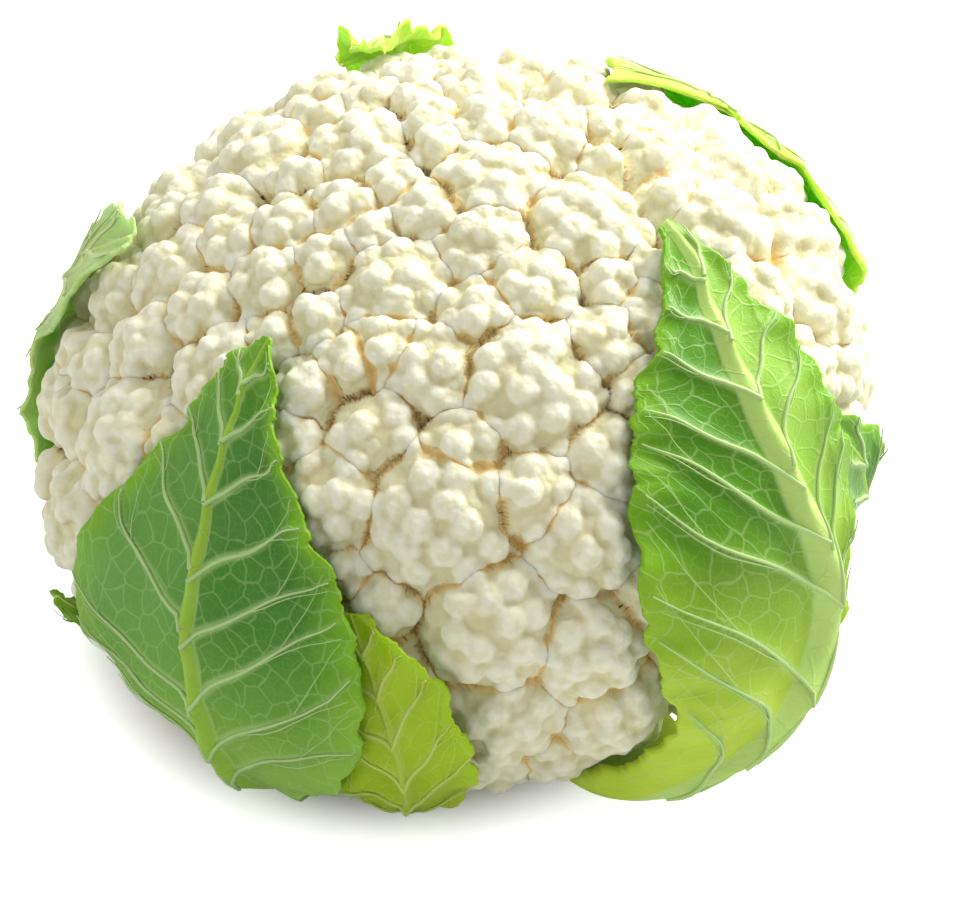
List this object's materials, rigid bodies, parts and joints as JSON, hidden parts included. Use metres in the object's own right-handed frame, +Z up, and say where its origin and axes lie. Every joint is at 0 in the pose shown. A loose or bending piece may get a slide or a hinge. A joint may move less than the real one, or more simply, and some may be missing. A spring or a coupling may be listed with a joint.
{
  "type": "cauliflower",
  "caption": "Whole cauliflower head with a knobbly ivory curd, a short cut stalk and green wrapper leaves trimmed close, resting on its cut base and front leaf stems.",
  "frame": {"origin": "on the surface that the head rests on, below the middle of its footprint", "axes": "+Z up, away from the surface it rests on; -Y towards the low front of the head, where the crown leans; +X towards the large right leaf"},
  "size_m": [0.1914, 0.185, 0.1238],
  "materials": {
    "curd": "ivory, finely granular and matt, with tan creases between the florets",
    "stalk": "pale green rind, damp off-white cut face",
    "leaf_green": "waxy blue-green with pale veins and a bright green margin",
    "leaf_pale_green": "waxy light green with pale veins",
    "leaf_yellow_green": "thin and yellow-green with pale veins"
  },
  "bodies": {
    "root": {"curd": "curd", "stalk": "stalk", "leaf_front_left": "leaf_green", "leaf_front_low": "leaf_yellow_green", "leaf_right": "leaf_pale_green", "leaf_right_back": "leaf_green", "leaf_back_right": "leaf_yellow_green", "leaf_back": "leaf_yellow_green", "leaf_back_left": "leaf_green", "leaf_left": "leaf_pale_green", "leaf_left_low": "leaf_pale_green"}
  },
  "joints": []
}
